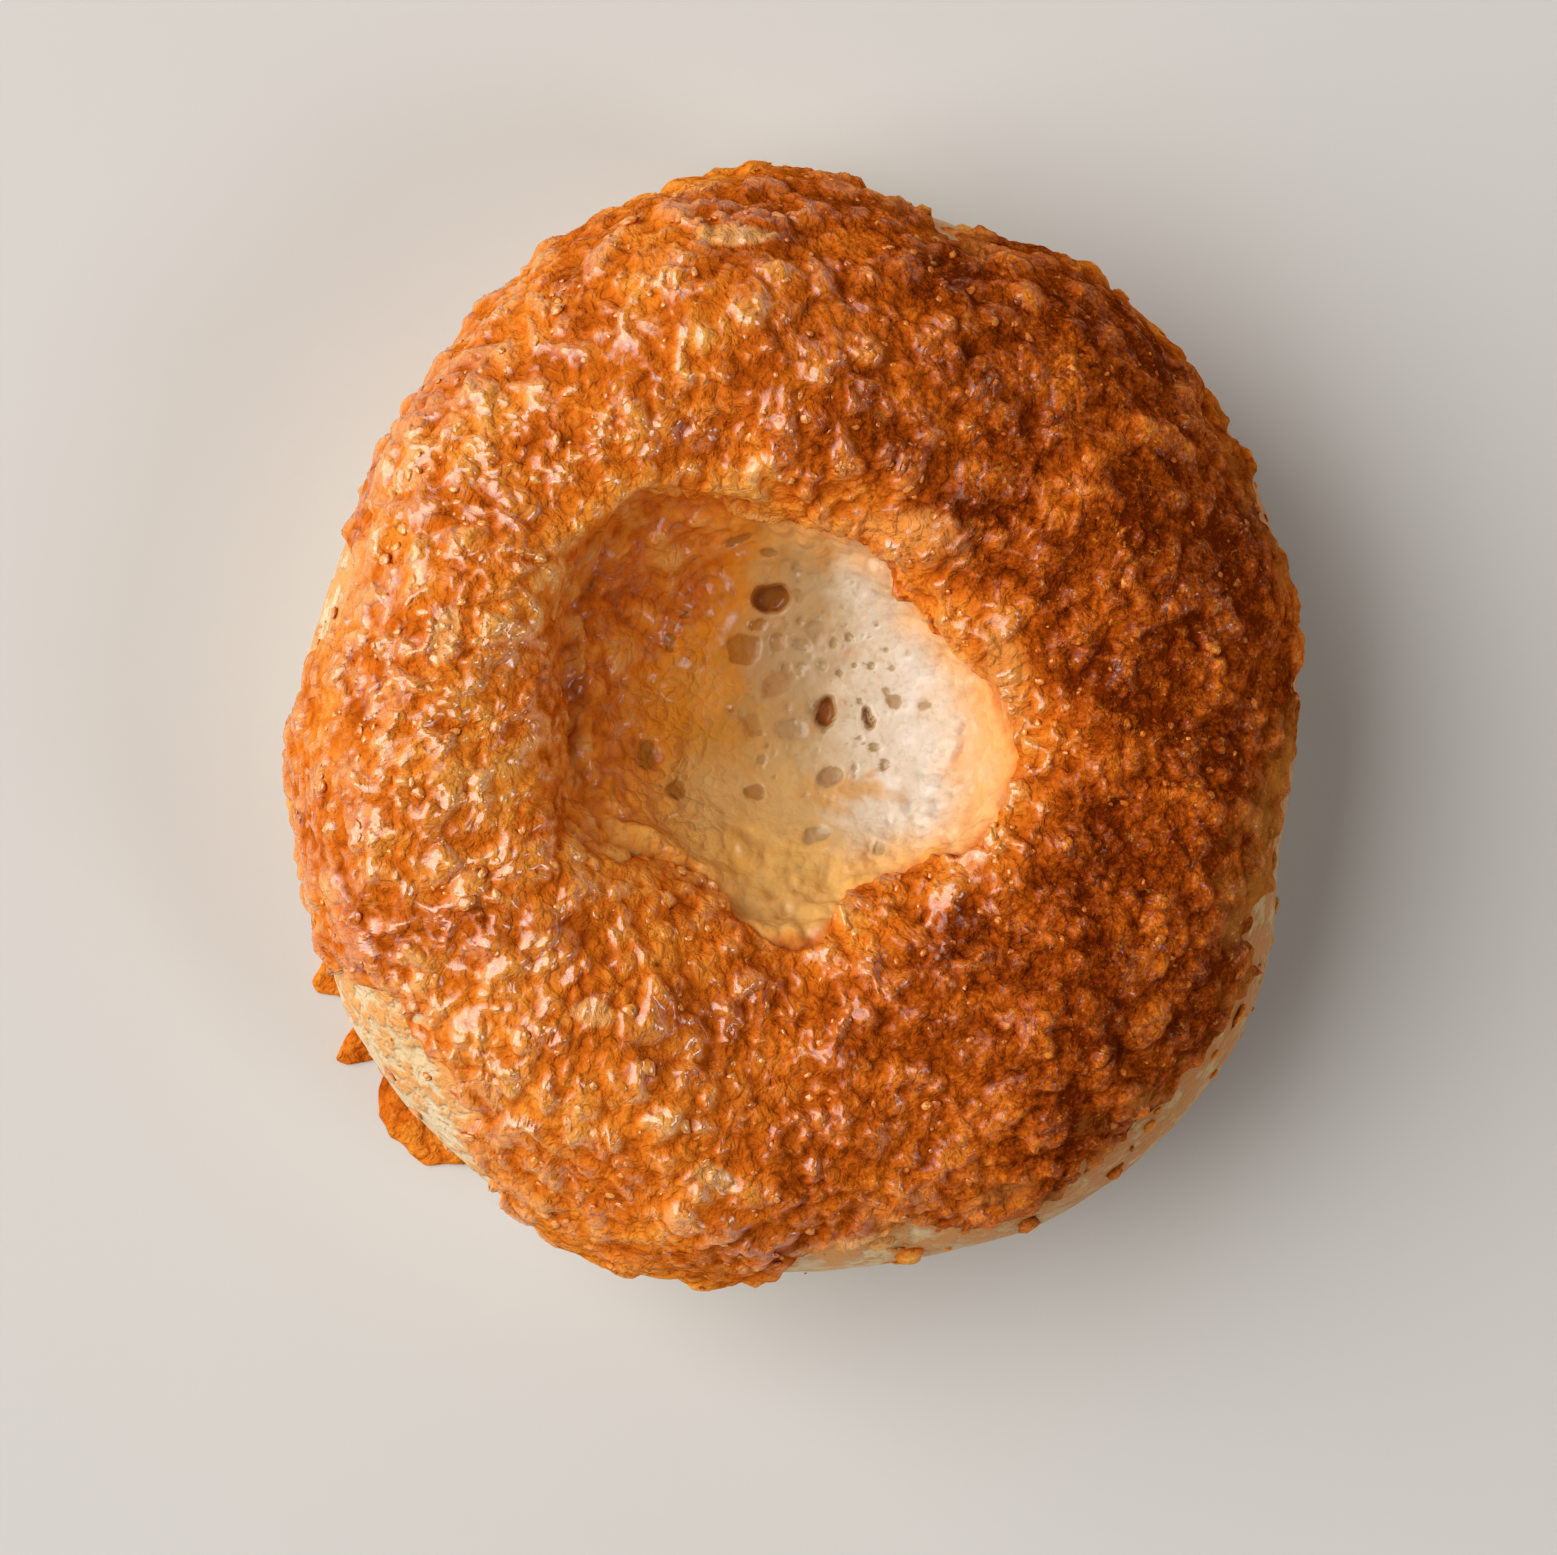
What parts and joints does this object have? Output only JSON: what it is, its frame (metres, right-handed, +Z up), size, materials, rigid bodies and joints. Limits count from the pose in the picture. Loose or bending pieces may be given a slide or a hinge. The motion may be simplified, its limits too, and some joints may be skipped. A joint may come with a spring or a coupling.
{
  "type": "asiago bagel",
  "caption": "Whole baked bagel, plump and nearly round, with a crust of melted shredded cheese and a closed dimple for a hole.",
  "frame": {"origin": "under the middle of the bagel's box, on the surface it stands on", "axes": "+Z up through the dimple, +Y along the bagel's longest side, +X to the right seen from above"},
  "size_m": [0.108, 0.1192, 0.0453],
  "materials": {
    "baked_cheese": "glossy browned cheese crust, orange to red-brown",
    "dough_crust": "satin pale golden bagel skin with low blisters",
    "dough_web": "moist pale porous dough",
    "fried_cheese": "dark crisp fried cheese lace"
  },
  "bodies": {
    "root": {"bagel": "baked_cheese"}
  },
  "joints": []
}
